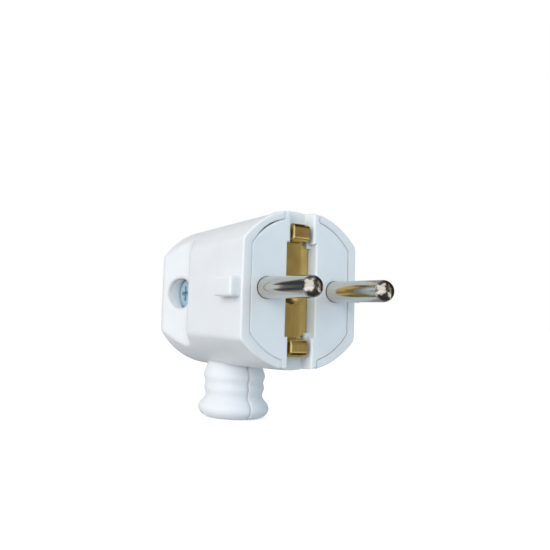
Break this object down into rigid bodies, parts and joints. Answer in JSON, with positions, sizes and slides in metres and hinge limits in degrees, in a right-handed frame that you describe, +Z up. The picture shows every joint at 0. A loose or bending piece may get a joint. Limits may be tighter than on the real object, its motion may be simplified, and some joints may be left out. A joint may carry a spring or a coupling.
{
  "type": "angled mains plug",
  "caption": "Angled rewirable mains plug with round pins, side earth contacts, a split drum-shaped casing with finger grooves and a rippled cord sleeve.",
  "frame": {"origin": "middle of the engagement face, half way between the pins", "axes": "+X to the right on the face as drawn, +Y to the rear, away from the pins, +Z up, away from the cord sleeve"},
  "size_m": [0.037, 0.062, 0.0511],
  "materials": {
    "casing": "semi-gloss white",
    "base": "semi-gloss white",
    "pins": "polished nickel plate",
    "earth_brass": "polished",
    "screws": "zinc plated",
    "case_zinc": "bluish zinc plate"
  },
  "bodies": {
    "root": {"casing_left": "casing", "casing_right": "casing", "contact_base": "base", "pin_left": "pins", "pin_right": "pins", "pin_screws": "screws", "earth_strap": "earth_brass", "earth_rivet": "earth_brass", "earth_terminal": "earth_brass", "earth_screw": "screws", "case_screw": "case_zinc", "case_nut": "case_zinc", "cord_clamp": "base", "cord_clamp_screws": "screws"}
  },
  "joints": []
}
